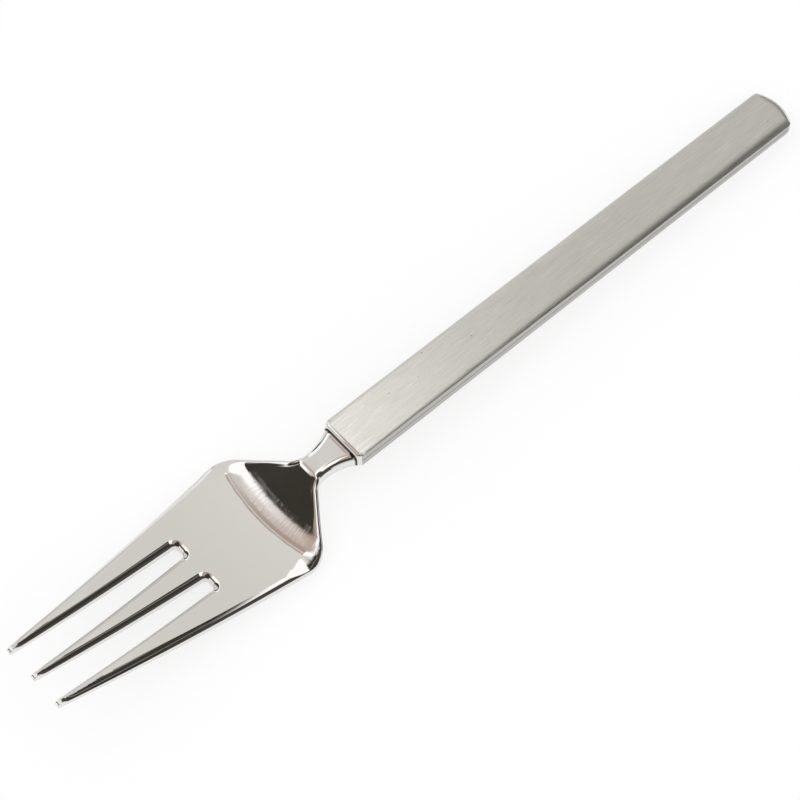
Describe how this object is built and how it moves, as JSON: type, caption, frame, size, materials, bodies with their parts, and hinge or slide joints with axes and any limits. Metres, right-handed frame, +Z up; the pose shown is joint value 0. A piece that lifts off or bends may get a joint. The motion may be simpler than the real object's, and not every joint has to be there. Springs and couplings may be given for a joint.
{
  "type": "pastry fork",
  "caption": "Pastry fork with tapering tines on a broad dished blade, a polished neck and a slim flat satin handle built as a hollow shell; cuts and lifts small cakes and tarts.",
  "frame": {"origin": "on the table the fork lies on, under the middle of its bounding box", "axes": "+X from the tine tips to the butt of the handle, +Y across the fork, +Z up from the table"},
  "size_m": [0.151, 0.0228, 0.0087],
  "materials": {
    "polished_steel": "mirror-polished stainless steel",
    "polished_collar": "mirror-polished stainless steel bevel",
    "satin_steel": "satin stainless steel, brushed lengthwise",
    "braze": "dressed braze line",
    "cement": "cured filler"
  },
  "bodies": {
    "root": {"fork_head": "polished_steel", "mouth_collar": "polished_collar", "handle_upper_shell": "satin_steel", "handle_lower_shell": "satin_steel", "seam_braze": "braze", "tang_cement": "cement"}
  },
  "joints": []
}
